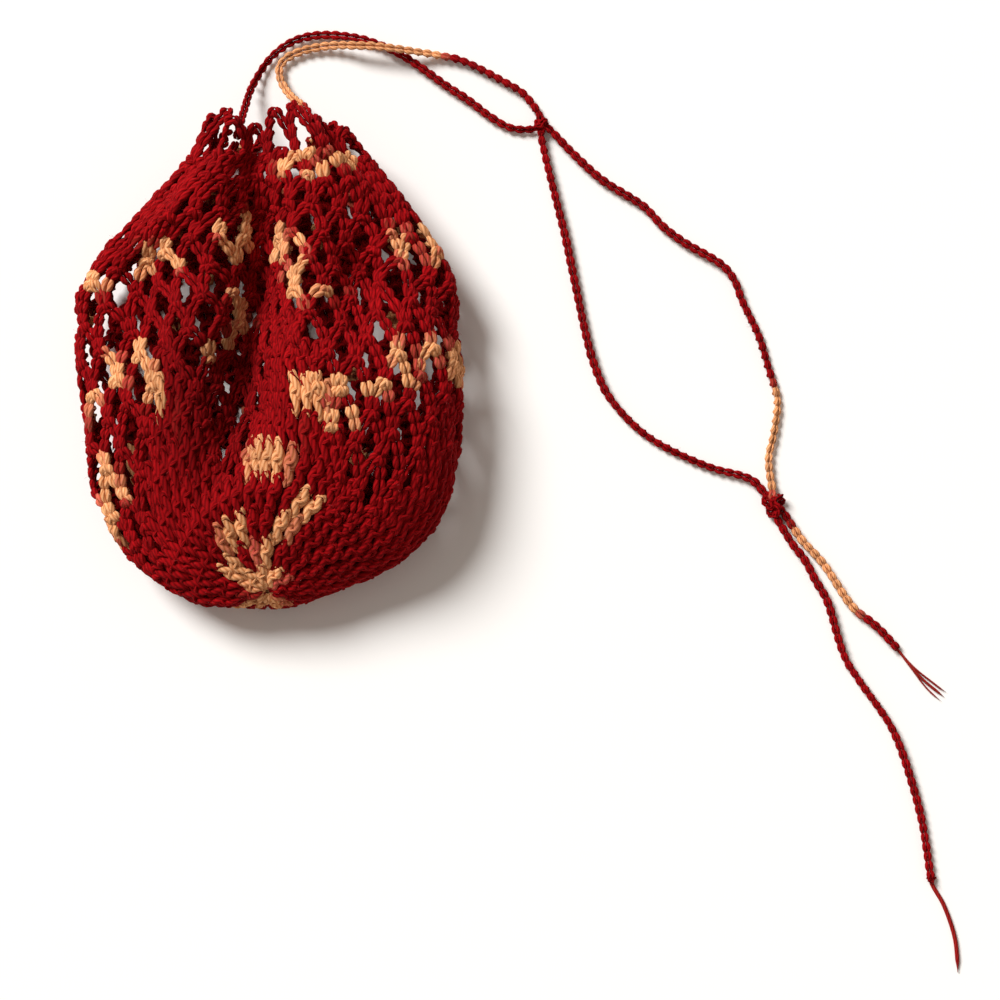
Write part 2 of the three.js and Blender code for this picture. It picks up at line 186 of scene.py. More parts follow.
def sheet_grid():
    rows = np.maximum(np.arange(17 * LEVELS + 1) / LEVELS, 0.05)[:, None]
    angles = math.pi + np.arange(TURNS + 1)[None, :] / TURNS * 2 * math.pi
    points = sheet_point(angles, rows)
    steps = np.linalg.norm(np.diff(points, axis=1), axis=-1)
    even = np.empty((len(rows), TURNS + 1))
    for level, lengths in enumerate(steps):
        along = np.concatenate([[0], np.cumsum(lengths)])
        even[level] = np.interp(np.linspace(0, along[-1], TURNS + 1), along, angles[0])
    points = sheet_point(even, rows)
    across = np.roll(points[:, :-1], -1, 1) - np.roll(points[:, :-1], 1, 1)
    across = np.concatenate([across, across[:, :1]], 1)
    normals = np.cross(across, np.gradient(points, axis=0))
    size = np.linalg.norm(normals, axis=-1, keepdims=True)
    return points - MIDDLE, normals / np.maximum(size, 1e-9)


GRID_POINTS, GRID_NORMALS = sheet_grid()


def on_sheet(turn, row):
    """Points and outward directions of the sheet at turns and rows."""
    u = (turn % 1) * TURNS
    v = np.clip(row, 0.06, 16.98) * LEVELS
    i, j = u.astype(int) % TURNS, v.astype(int)
    fu, fv = (u - np.floor(u))[..., None], (v - j)[..., None]

    def blend(grid):
        low = grid[j, i] * (1 - fu) + grid[j, i + 1] * fu
        high = grid[j + 1, i] * (1 - fu) + grid[j + 1, i + 1] * fu
        return low * (1 - fv) + high * fv

    return blend(GRID_POINTS), unit(blend(GRID_NORMALS))


def unit(vectors):
    size = np.linalg.norm(vectors, axis=-1, keepdims=True)
    return vectors / np.maximum(size, 1e-12)


def gap_share(turn, row):
    """Over 0 where the fabric is dense, under 0 where the net is open, in cells."""
    off = np.abs((turn[..., None] - GAP_TURNS + 1.5) % 1 - 0.5).min(-1) * CELLS
    return off - GAP_GROWTH * (row - GAP_START_ROW)


def rested(height):
    """Heights as the yarn lies on the surface, where its own weight presses it flat."""
    return LOWEST + (height + np.sqrt(height * height + FLATTENED ** 2)) / 2


# Yarn sizes against the plain chain link, and the net's and cord's lengths of one link
NET_YARN, BENEATH_YARN, TIE_YARN, RIM_YARN, CORD_YARN = 1.3, 0.55, 1.25, 1.15, 0.9
NET_LINK, CORD_LINK, KNOT_LINK = 4.4, 3.5, 3.2
RIM_BOW = 0.55
FIBRES = 15000


class Form:
    """A small piece of yarn work: across, along and out of its length, with faces and uv."""

    def __init__(self, length):
        self.length = length
        self.points = []
        self.faces = []
        self.uv = []

    def tube(self, line, radii, sides=6):
        """Adds one tapered tube along a line of (across, along, out) points."""
        line = np.array(line, float)
        count = len(line)
        ways = unit(np.gradient(line, axis=0))
        up = np.array([0.0, 0.0, 1.0]) if abs(ways[:, 2]).max() < 0.9 else np.array([1.0, 0, 0])
        side = unit(np.cross(ways, up))
        over = np.cross(side, ways)
        run = np.concatenate([[0], np.cumsum(np.linalg.norm(np.diff(line, axis=0), axis=1))])
        first = sum(len(p) for p in self.points)
        turn = np.arange(sides) / sides * 2 * math.pi
        radii = np.broadcast_to(np.array(radii, float), count)[:, None, None]
        ring = (
            np.cos(turn)[None, :, None] * side[:, None]
            + np.sin(turn)[None, :, None] * over[:, None]
        )
        self.points.append((line[:, None] + radii * ring).reshape(-1, 3))
        for i in range(count - 1):
            for k in range(sides):
                n = (k + 1) % sides
                self.faces.append([
                    first + i * sides + k,
                    first + (i + 1) * sides + k,
                    first + (i + 1) * sides + n,
                    first + i * sides + n,
                ])
                self.uv.append([
                    [run[i], k / sides],
                    [run[i + 1], k / sides],
                    [run[i + 1], (k + 1) / sides],
                    [run[i], (k + 1) / sides],
                ])
        return self

    def arrays(self):
        return np.concatenate(self.points), np.array(self.faces), np.array(self.uv)


def arc(*points, steps=6):
    """Smooth line through three or more points."""
    points = np.array(points, float)
    t = np.linspace(0, 1, len(points))
    return np.stack([
        np.polyval(np.polyfit(t, points[:, k], len(points) - 1), np.linspace(0, 1, steps))
        for k in range(3)
    ], 1)


LEAF = (0.08, 0.62, 0.88, 0.9, 0.62, 0.14)


def chain_link():
    """One chain stitch: two leaves of yarn that open upwards, and the loop behind them."""
    form = Form(4.0)
    for s in (-1, 1):
        form.tube(arc([0.1 * s, -1.1, 0.1], [0.95 * s, 1.9, 0.75], [0.3 * s, 4.9, 0.15]), LEAF)
    form.tube(
        arc([-1.0, 1.5, -0.1], [0, 2.6, -0.95], [1.0, 1.5, -0.1], steps=5),
        (0.2, 0.62, 0.66, 0.62, 0.2), 5,
    )
    return form


def tall_stitch():
    """One tall stitch: a post of two strands that turn round each other, and its top chain."""
    form = Form(11.0)
    along = np.linspace(-3.0, 11.0, 10)
    body = np.interp(along, [-3.0, -0.5, 3.0, 8.0, 11.0], [0.22, 0.84, 1.04, 1.06, 0.76])
    for start in (0.4, 0.4 + math.pi):
        turn = start + along / 11.0 * 2 * math.pi * 0.8
        reach = 1.2 * body
        line = np.stack([reach * np.cos(turn), along, 0.1 + 0.65 * np.sin(turn)], 1)
        form.tube(line, 1.38 * body)
    form.tube(
        arc([-2.1, 4.4, 0.2], [0, 5.8, 1.75], [2.1, 7.0, 0.2]), (0.1, 0.4, 0.55, 0.55, 0.4, 0.1),
    )
    form.tube(arc([-2.2, 8.8, 0.3], [0.1, 12.2, 1.0], [2.2, 9.2, 0.3]), LEAF)
    return form


def wrap():
    """The short stitch that ties a strand of the net to the arch below it."""
    form = Form(4.0)
    for s in (-1, 1):
        form.tube(arc([1.3 * s, -1.6, 0.2], [0.5 * s, 0.4, 1.35], [-0.9 * s, 2.2, 0.4]), LEAF)
    return form


class Batch:
    """Yarn work that becomes one piece: many forms laid along lines."""

    def __init__(self, name):
        self.name = name
        self.verts, self.faces, self.uv, self.tone, self.shade = [], [], [], [], []
        self.count = 0

    def lay(self, form, where, scale, tone_of):
        """Lays the form once for each line. where gives frames at shares of a form's length."""
        points, faces, uv = form.arrays()
        at, way, out = where(points[:, 1] / form.length)
        side = unit(np.cross(way, out))
        wide = np.asarray(scale, float).reshape(-1, 1, 1)
        verts = at + wide * (side * points[None, :, :1] + out * points[None, :, 2:])
        verts[..., 2] = rested(verts[..., 2])
        number, size = verts.shape[:2]
        flip = rng.random(number) * 4
        self.verts.append(verts.reshape(-1, 3))
        offsets = self.count + np.arange(number) * size
        self.faces.append((faces[None] + offsets[:, None, None]).reshape(-1, 4))
        uv = np.broadcast_to(uv[None], (number, *uv.shape)).copy()
        uv[..., 0] += flip[:, None, None]
        self.uv.append(uv.reshape(-1, 2))
        middles = verts.mean(1)
        tone = tone_of(middles)
        self.tone.append(np.broadcast_to(tone, (number, size)).reshape(-1))
        # random tone of each stitch, times the painted shade on the left
        shade = (0.82 + 0.28 * rng.random(number)) * painted_shade_left(middles)
        self.shade.append(np.repeat(shade, size))
        self.count += number * size

    def piece(self, material):
        verts = np.concatenate(self.verts) * MM
        faces = np.concatenate(self.faces)
        return mesh_piece(
            self.name, verts, faces, material, np.concatenate(self.uv),
            np.concatenate(self.tone), np.concatenate(self.shade),
        )


def mesh_piece(name, verts, faces, material, uv=None, tone=None, shade=None):
    """One object of four-sided faces, in metres, that rides on the pouch."""
    mesh = bpy.data.meshes.new(name)
    mesh.vertices.add(len(verts))
    mesh.vertices.foreach_set("co", np.asarray(verts, np.float32).ravel())
    mesh.loops.add(faces.size)
    mesh.loops.foreach_set("vertex_index", faces.astype(np.int32).ravel())
    mesh.polygons.add(len(faces))
    mesh.polygons.foreach_set("loop_start", np.arange(0, faces.size, 4, dtype=np.int32))
    mesh.polygons.foreach_set("use_smooth", np.ones(len(faces), bool))
    mesh.update(calc_edges=True)
    if uv is not None:
        mesh.uv_layers.new(name="yarn").data.foreach_set("uv", np.float32(uv).ravel())
    for label, values in (("tone", tone), ("shade", shade)):
        if values is not None:
            layer = mesh.attributes.new(label, "FLOAT", "POINT")
            layer.data.foreach_set("value", np.float32(values))
    mesh.materials.append(material)
    mesh.validate()
    piece = bpy.data.objects.new(name, mesh)
    bpy.context.collection.objects.link(piece)
    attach(piece, "root")
    return piece


# Peach stretches of the yarn on the upper side, where they show on the surface as seen from
# the camera: the two ends of each stretch and half its width
PEACH = np.array([
    [11, -8, 21, -8, 5.8], [14, -19, 25, -20, 5.8], [30, -8, 41, -9, 3], [46, 4, 48, -6, 4.4],
    [56, 6, 57, -2, 4], [66, 5, 67, -4, 3.6], [-5, -34, 1.5, -34, 5.4], [-22, -61, -14, -57, 5.2],
    [5, -57, 11, -53, 4.7], [-3, -65, -4, -69, 3], [-14, -77, -2, -79, 4.6],
    [-12, -87, 2, -88, 2.4],
    [-61, -37, -60, -63, 3.8], [-66, -12, -65, -24, 2.8], [-54, -41, -54, -48, 3],
    [-60, 3, -57, -6, 3.6], [-49, 4, -45, -9, 4.2], [-44, -12, -43, -20, 3.4],
    [-38, -13, -38, -18, 3], [-15, 25, -13, 18, 3], [-24, 4, -8, 17, 2.8],
    [-47, 43, -47, 31, 3.4], [-41, 44, -36, 37, 3.2], [-67, 31, -64, 28, 3.4],
    [-19, 49, -15, 41, 3.2], [-12, 55, -12, 41, 2.8], [3, 48, 2, 40, 3], [8, 45, 9, 35, 3.4],
    [6, 32, 10, 25, 3.2], [17, 25, 24, 27, 3], [3, 72, 14, 79, 2.8], [14, 70, 21, 76, 3.2],
    [24, 76, 28, 74, 3], [45, 50, 50, 37, 3.2], [54, 49, 58, 40, 3.2],
], float)


# Yarn over this height, in millimetres, takes the peach stretches above
UPPER_SIDE = 14

# Painted shade over the left of the pouch and its middle fold: its middle, its reach and how much
# darker it is
SHADE_MIDDLE, SHADE_REACH, SHADE_DEPTH = np.array([-21, -16]), np.array([21, 38]), 0.42


def seen(points):
    """Where points show on the surface, seen from the camera."""
    centre = np.array(CAMERA_AT) - MIDDLE
    grow = centre[2] / (centre[2] - points[..., 2:])
    return centre[:2] + (points[..., :2] - centre[:2]) * grow


def painted_shade_left(middles):
    """Painted shade: under 1 over the left of the pouch, where the yarn colour is darkened to
    stand for shade.
    """
    off = (middles[:, :2] - SHADE_MIDDLE) / SHADE_REACH
    return 1 - SHADE_DEPTH * np.exp(-(off * off).sum(-1))


def pouch_tone(middles):
    """1 where the yarn is peach, 0 where it is red, between them where the dye changes."""
    spots = seen(middles)[:, None]
    start, end, half = PEACH[:, :2], PEACH[:, 2:4], PEACH[:, 4]
    way = end - start
    share = np.clip(((spots - start) * way).sum(-1) / (way * way).sum(-1), 0, 1)
    off = np.linalg.norm(spots - start - share[..., None] * way, axis=-1) - half
    upper = middles[:, 2] > UPPER_SIDE
    tone = np.where(upper, 1 - ease((off.min(1) + 1.2) / 1.8), 0)
    hidden = np.sin(middles[:, 0] * 0.23 + 1) * np.sin(middles[:, 1] * 0.19 + 2)
    tone = np.where(upper, tone, ease((hidden - 0.78) / 0.08))
    return tone[:, None]


# The net: strands of chain between joints in brick order
def joint_spot(i, row):
    wobble = np.where(row > FIRST_NET_ROW + 1, NET_WOBBLE, 0)
    turn = (i + (row % 2) / 2 + wobble * np.sin(3.1 * i + 1.7 * row)) / CELLS
    return turn, row + wobble * np.sin(2.3 * i + 4.1 * row)


def line_frames(start, end, bow, low, high):
    """Frames along arched lines on the sheet, for shares of the stretch from low to high."""
    def spots(share):
        s = low[:, None] + (high - low)[:, None] * share[None, :]
        k = bow[:, None]
        u = (1 - k) * s + k * (1 - np.cos(np.clip(s, -0.3, 1.3) * math.pi / 2))
        v = (1 - k) * s + k * np.sin(np.clip(s, -0.3, 1.3) * math.pi / 2)
        turn = start[0][:, None] + (end[0] - start[0])[:, None] * u
        row = start[1][:, None] + (end[1] - start[1])[:, None] * v
        return turn, row

    def where(share):
        at, out = on_sheet(*spots(share))
        ahead = on_sheet(*spots(share + 0.04))[0]
        behind = on_sheet(*spots(share - 0.04))[0]
        return at, unit(ahead - behind), out

    return where


def chain_strand(batch, start, end, link, yarn_size, bow):
    """Chain stitches along many lines, with as many links as the mean line needs."""
    start = [np.asarray(v, float) for v in start]
    end = [np.asarray(v, float) for v in end]
    span = np.linalg.norm(on_sheet(*end)[0] - on_sheet(*start)[0], axis=-1)
    links = np.maximum(np.round(span / NET_LINK).astype(int), 1)
    for number in np.unique(links):
        pick = links == number
        for k in range(number):
            size = pick.sum()
            frames = line_frames(
                [v[pick] for v in start], [v[pick] for v in end],
                np.broadcast_to(bow, links.shape)[pick],
                np.full(size, k / number), np.full(size, (k + 1) / number),
            )
            scale = np.broadcast_to(yarn_size, links.shape)[pick]
            scale = scale * (0.93 + 0.14 * rng.random(size))
            batch.lay(link, frames, scale, pouch_tone)


def beneath(turn):
    """1 on the side that lies on the surface and is pressed together, 0 on the upper side."""
    return ease(1.4 - np.abs((turn + 0.5) % 1 - 0.5) / 0.16)


def build_net(link, tie):
    """The open net, in two pieces, and the ties at its joints."""
    batches = []
    lower_and_upper = (
        ("net_lower", range(FIRST_NET_ROW, NET_SPLIT_ROW)),
        ("net_upper", range(NET_SPLIT_ROW, NECK_ROW)),
    )
    for name, rows in lower_and_upper:
        batch = Batch(name)
        for row in rows:
            i = np.arange(CELLS)
            odd = row % 2
            foot = joint_spot(i, np.full(CELLS, row))
            for lean in (0, -1):
                head = joint_spot(i + odd + lean, np.full(CELLS, row + 1))
                middle = (foot[0] + head[0]) / 2
                open_here = gap_share(middle, np.full(CELLS, row + 0.5)) < NET_LIMIT
                if open_here.any():
                    chain_strand(
                        batch, [v[open_here] for v in foot], [v[open_here] for v in head], link,
                        NET_YARN + BENEATH_YARN * beneath(middle[open_here]),
                        0.35 + 0.3 * rng.random(int(open_here.sum())),
                    )
            shown = gap_share(foot[0], foot[1]) < TIE_LIMIT
            size = int(shown.sum())
            if size:
                turn, up = foot[0][shown], foot[1][shown]
                frames = line_frames(
                    [turn, up - 0.1], [turn, up + 0.25],
                    np.zeros(size), np.zeros(size), np.ones(size),
                )
                batch.lay(tie, frames, np.full(size, TIE_YARN), pouch_tone)
        batches.append(batch)
    return batches


def build_rim(link):
    """Long loops of the last round, each over two cells."""
    batch = Batch("rim_loops")
    i = np.arange(0, CELLS, 2)
    row = np.full(len(i), NECK_ROW)
    turn = (i + 1.5 + 0.25 * np.sin(1.9 * i)) / CELLS
    tip = [turn, RIM_ROW + 0.3 + 0.35 * np.sin(2.4 * i + 0.6)]
    chain_strand(batch, joint_spot(i, row), tip, link, RIM_YARN, RIM_BOW)
    last = joint_spot((i + 2) % CELLS, row)
    turn_on = np.where(last[0] < turn - 0.5, last[0] + 1, last[0])
    chain_strand(batch, [turn_on, last[1]], tip, link, RIM_YARN, RIM_BOW)
    return batch


def build_dense(stitch):
    """Tall stitches of the round base and of the dense points, in two pieces."""
    batches = []
    base_and_points = (
        ("base_stitches", range(0, FIRST_NET_ROW)),
        ("point_stitches", range(FIRST_NET_ROW, NECK_ROW)),
    )
    for name, rows in base_and_points:
        batch = Batch(name)
        for row in rows:
            count = min(12 + 11 * row, MOST_STITCHES)
            turn = (np.arange(count) + 0.5 + 0.06 * rng.standard_normal(count)) / count
            turn = turn + 0.25 * (row % 2) / count
            if row >= FIRST_NET_ROW:
                dense = gap_share(turn, np.full(count, row + 0.55)) > DENSE_LIMIT
                turn = turn[dense]
            size = len(turn)
            if not size:
                continue
            low = np.full(size, float(max(row, 0.3)))
            top = low + (1 if row else 0.7)
            tilt = (0.3 + 0.1 * rng.standard_normal(size)) / count
            span = np.linalg.norm(
                on_sheet(turn + 0.5 / count, low + 0.5)[0]
                - on_sheet(turn - 0.5 / count, low + 0.5)[0], axis=-1,
            )
            frames = line_frames(
                [turn, low], [turn + tilt, top], np.zeros(size), np.zeros(size), np.ones(size),
            )
            scale = np.clip(span / 4.35, 0.6, 1.3) * (0.96 + 0.08 * rng.random(size))
            batch.lay(stitch, frames, scale, pouch_tone)
        batches.append(batch)
    return batches


def build_ground(material):
    """The thin sheet in the dense crochet that shuts the slits between its stitches; its dark
    colour is painted shade.
    """
    turns, rows = 240, np.arange(0.3, 14.6, 0.25)
    turn, row = np.meshgrid(np.arange(turns) / turns, rows)
    at, out = on_sheet(turn, row)
    verts = (at - GROUND_DEPTH * out).reshape(-1, 3) * MM
    faces = []
    for j in range(len(rows) - 1):
        i = np.arange(turns)
        middle = (i + 0.5) / turns
        dense = gap_share(middle, np.full(turns, rows[j] + 0.12)) > GROUND_LIMIT
        i = i[dense]
        n = (i + 1) % turns
        low, high = j * turns, (j + 1) * turns
        faces.append(np.stack([low + i, low + n, high + n, high + i], 1))
    faces = np.concatenate(faces)
    corners = verts[faces]
    area = 0.5 * np.linalg.norm(
        np.cross(corners[:, 2] - corners[:, 0], corners[:, 3] - corners[:, 1]), axis=-1,
    ).sum()
    used, faces_flat = np.unique(faces, return_inverse=True)
    return mesh_piece("shade_sheet", verts[used], faces_flat.reshape(-1, 4), material), float(area)


# Routes of the drawstring, as in the solids. A point without a height rests on the surface.
CORD_WIDTH = 3.0
CORD_REST = CORD_WIDTH / 2 + 0.05
YARN_REST = 0.85
LEFT_ROUTE = [
    [-11.6, 78.4, 20], [-10.9, 83, 18.4], [-9.9, 92, 10.5], [-8.6, 99.7, 4.8], [-6.3, 105.3, 2.3],
    [-3, 110.6], [1.4, 115], [7.6, 118.7], [15, 120.4], [22.4, 120.4], [30.1, 119.4], [38.2, 117],
    [46.3, 113.2], [53.7, 108.6], [62.9, 102.1], [72.1, 96.2], [80.2, 90.3], [87.6, 86.5],
    [95.1, 86.2],
]
RIGHT_ROUTE = [
    [15.4, 84.7, 20], [14.6, 87.6, 18.4], [12.4, 91.2, 15], [8.1, 95.1, 9.5], [4.3, 99.8, 4.8],
    [2, 104.6, 2.3], [1.9, 108.8], [4.3, 111.9], [9.5, 114.5], [16.8, 116.1, 1.8],
    [23.6, 116.4, 3], [30.3, 115.8, 4.9], [37.7, 115.3, 5.6], [45, 114.4, 5.4],
    [52.3, 113.6, 3.6], [59.6, 112.8, 1.8], [68.4, 111], [77.3, 106.9], [85, 102.7],
    [90.9, 99.2], [95, 94.6], [97.4, 90.8],
]
INNER_ROUTE = [
    [98.7, 83.3], [100.1, 76.3], [102.3, 67.1], [104.5, 57.9], [107.1, 46.9], [110.8, 28.4],
    [114.8, 9.7], [117.8, -0.7], [122.2, -10.6], [128.1, -18.3], [135.1, -25], [142.1, -29.8],
    [153.2, -35.3], [162.4, -39], [171.6, -41.5], [176.4, -43.6], [180.1, -47.7],
]
OUTER_ROUTE = [
    [101.2, 85.6], [108.2, 78.5], [120.4, 67.5], [136.6, 57.2], [143.2, 50.2], [150.9, 44.3],
    [165.3, 35.4], [169.4, 29.9], [171.9, 22.9], [178.2, 9.3], [181.9, -2.9], [183.7, -8.4],
    [185, -13.9], [184.5, -21.3], [183.2, -28.7], [181.9, -34.2], [182.1, -39.7], [183.2, -46.2],
]
LONG_TAIL_ROUTE = [
    [184.9, -57.2], [187.8, -62.4], [190.8, -67.2], [195.3, -72.9], [199.2, -80.2],
    [203.6, -87.6], [208.2, -102.3], [211, -109.7], [215.8, -117.1], [226.1, -131.8],
    [229.8, -139.2], [234.6, -153.9], [238.3, -168.6], [240.7, -183.4], [241.5, -188.4],
]
SHORT_TAIL_ROUTE = [
    [187.2, -54.9], [191.2, -60.8], [194.6, -65.6], [198.4, -69.6], [202, -73.6], [206.6, -80.4],
    [211.2, -87.6], [214.7, -91.7], [219.1, -95], [223.2, -98.7], [226.8, -102.7], [229.8, -106],
]
LONG_YARN_ROUTE = [
    [242, -190.6, 1.2], [242.6, -192.7], [243.8, -194.9], [246.2, -198.9], [248.9, -205.5],
    [251, -212.9], [251.8, -220.2], [252, -225],
]
SHORT_YARN_ROUTE = [
    [228.6, -104.8, 1.2], [230.1, -106.3], [233.5, -110.6], [238.3, -116], [243.4, -120.8],
    [246.6, -123.3],
]
KNOTS = {
    "upper": ([98.4, 87, 2.75], [3, 3.3, 2.6]),
    "lower": ([183.6, -52.2, 2.95], [4.6, 5.4, 2.8]),
    "tail": ([242, -190.6, 1.75], [1.9, 1.75, 1.65]),
}
NECK_RUN = {
    "x": 3, "y": 72.5, "z": 14.2, "halfWidth": 21, "halfHeight": 9.6, "from": -1.05, "to": 1,
}


def smooth(route, rest=CORD_REST, step=0.5):
    """Even points along a smooth line through a route."""
    points = np.array([list(p) + [rest] * (3 - len(p)) for p in route], float)
    ends = np.concatenate([
        2 * points[:1] - points[1:2], points, 2 * points[-1:] - points[-2:-1],
    ])
    gaps = np.maximum(np.linalg.norm(np.diff(ends, axis=0), axis=1) ** 0.5, 1e-6)
    line = []
    for i in range(1, len(ends) - 2):
        p0, p1, p2, p3 = ends[i - 1:i + 3]
        d0, d1, d2 = gaps[i - 1:i + 2]
        m1 = ((p1 - p0) / d0 - (p2 - p0) / (d0 + d1) + (p2 - p1) / d1) * d1
        m2 = ((p2 - p1) / d1 - (p3 - p1) / (d1 + d2) + (p3 - p2) / d2) * d1
        t = np.linspace(0, 1, 40, endpoint=False)[:, None]
        line.append(
            p1 + m1 * t + (3 * (p2 - p1) - 2 * m1 - m2) * t * t
            + (2 * (p1 - p2) + m1 + m2) * t ** 3
        )
    line = np.concatenate(line + [ends[-2:-1]])
    return even_line(line, step) - MIDDLE


def even_line(line, step):
    run = np.concatenate([[0], np.cumsum(np.linalg.norm(np.diff(line, axis=0), axis=1))])
    marks = np.linspace(0, run[-1], max(int(round(run[-1] / step)), 2) + 1)
    return np.stack([np.interp(marks, run, line[:, k]) for k in range(3)], 1)


def length_of(line):
    return float(np.linalg.norm(np.diff(line, axis=0), axis=1).sum())


def cord_frames(line, starts, size, roll):
    """Frames along a free cord whose stitches turn slowly round it."""
    run = np.concatenate([[0], np.cumsum(np.linalg.norm(np.diff(line, axis=0), axis=1))])

    def at(marks):
        return np.stack([np.interp(marks, run, line[:, k]) for k in range(3)], -1)

    def where(share):
        marks = np.clip(starts[:, None] + size * share[None, :], 0.3, run[-1] - 0.3)
        way = unit(at(marks + 0.3) - at(marks - 0.3))
        up = np.array([0.0, 0.0, 1.0]) - way * way[..., 2:]
        up = unit(up)
        side = np.cross(way, up)
        turn = roll[0] + roll[1] * np.sin(marks * roll[2])
        return at(marks), way, unit(up * np.cos(turn)[..., None] + side * np.sin(turn)[..., None])

    return where


# Peach stretches of the right half of the drawstring, from one place to another
RIGHT_PEACH = [
    [[10, 93], [60, 112.7]], [[184.6, -12], [183.4, -46]], [[193.5, -64], [214, -91]],
]


def cord_tone(line, stretches=()):
    """Tone of the links of a cord: 1 in its peach stretches, 0 elsewhere."""
    run = length_of(line)
    marks = np.linspace(0, 1, len(line))

    def mark_of(place):
        off = np.linalg.norm(line[:, :2] + MIDDLE[:2] - np.array(place), axis=1)
        return marks[off.argmin()]

    ends = [[mark_of(start), mark_of(end)] for start, end in stretches]

    def tone_of(middles):
        flat = middles[:, None] - line[None, ::4]
        share = marks[::4][np.linalg.norm(flat, axis=-1).argmin(1)]
        soft = 6 / run
        tone = np.zeros(len(middles))
        for low, high in ends:
            tone = np.maximum(
                tone, ease((share - low + soft) / soft) * ease((high - share + soft) / soft),
            )
        return tone[:, None]

    return tone_of


def build_cord(name, line, link, roll, stretches=()):
    batch = Batch(name)
    links = max(int(round(length_of(line) / CORD_LINK)), 2)
    starts = np.arange(links) * length_of(line) / links
    frames = cord_frames(line, starts, length_of(line) / links, roll)
    scale = np.full(links, CORD_YARN) * (0.95 + 0.08 * rng.random(links))
    batch.lay(link, frames, scale, cord_tone(line, stretches))
    return batch


def knot_line(at, half, width):
    """A knotted loop that fills the knot's place."""
    t = np.linspace(0, 2 * math.pi, 160)
    line = np.stack([
        np.sin(t) + 2 * np.sin(2 * t), np.cos(t) - 2 * np.cos(2 * t), -np.sin(3 * t),
    ], 1)
    line /= np.abs(line).max(0)
    return even_line(np.array(at) + line * (np.array(half) - width / 2) - MIDDLE, 0.3)


def build_tube(batch, line, width, sides, tone):
    """One plain yarn along a line, thinner at its end."""
    count = len(line)
    share = np.linspace(0, 1, count)
    radii = width / 2 * np.clip((1 - share) * 8, 0.15, 1)
    form = Form(1.0).tube(line, radii, sides)
    points, faces, uv = form.arrays()
    batch.verts.append(points)
    batch.faces.append(faces + batch.count)
    batch.uv.append(uv.reshape(-1, 2))
    batch.tone.append(np.full(len(points), tone))
    batch.shade.append(np.full(len(points), 0.95))
    batch.count += len(points)


# Materials
class Wire:
    """A shader socket that takes part in plain arithmetic."""

    def __init__(self, graph, socket):
        self.graph = graph
        self.socket = socket

    def _math(self, kind, *others):
        node = self.graph.nodes.new("ShaderNodeMath")
        node.operation = kind
        for slot, value in zip(node.inputs, (self, *others)):
            if isinstance(value, Wire):
                self.graph.links.new(value.socket, slot)
            else:
                slot.default_value = value
        return Wire(self.graph, node.outputs[0])

    def __add__(self, other):
        return self._math("ADD", other)

    def __mul__(self, other):
        return self._math("MULTIPLY", other)

    def __sub__(self, other):
        return self._math("SUBTRACT", other)

    def __rsub__(self, other):
        return self * -1 + other

    def sine(self):
        return self._math("SINE")

    def power(self, other):
        return self._math("POWER", other)

    def clamp(self):
        return self._math("ADD", 0)._math("MAXIMUM", 0)._math("MINIMUM", 1)


class Graph:
    """Builds one material."""

    def __init__(self, name):
        self.material = bpy.data.materials.new(name)
        self.material.use_nodes = True
        tree = self.material.node_tree
        self.nodes, self.links = tree.nodes, tree.links
        self.surface = self.nodes["Principled BSDF"]

    def node(self, kind, output, inputs=None, **settings):
        node = self.nodes.new(kind)
        for key, value in settings.items():
            setattr(node, key, value)
        for key, value in (inputs or {}).items():
            if isinstance(value, Wire):
                self.links.new(value.socket, node.inputs[key])
            else:
                node.inputs[key].default_value = value
        return Wire(self, node.outputs[output])

    def mix(self, share, first, second):
        return self.node(
            "ShaderNodeMix", 2, {0: share, 6: first, 7: second}, data_type="RGBA",
        )

    def put(self, name, value):
        self.links.new(value.socket, self.surface.inputs[name])

    def noise(self, scale, detail=3.0):
        place = self.node("ShaderNodeTexCoord", "Object")
        return self.node(
            "ShaderNodeTexNoise", 0, {"Vector": place, "Scale": scale, "Detail": detail},
        )


RED = (0.36, 0.0035, 0.006, 1)
# Painted shade: the darker red and peach painted into the grooves between the plies
GROOVE_SHADE_RED = (0.10, 0.001, 0.002, 1)
PINK = (0.66, 0.10, 0.08, 1)
CREAM = (0.92, 0.46, 0.225, 1)
GROOVE_SHADE_CREAM = (0.52, 0.16, 0.04, 1)
PLIES = 4


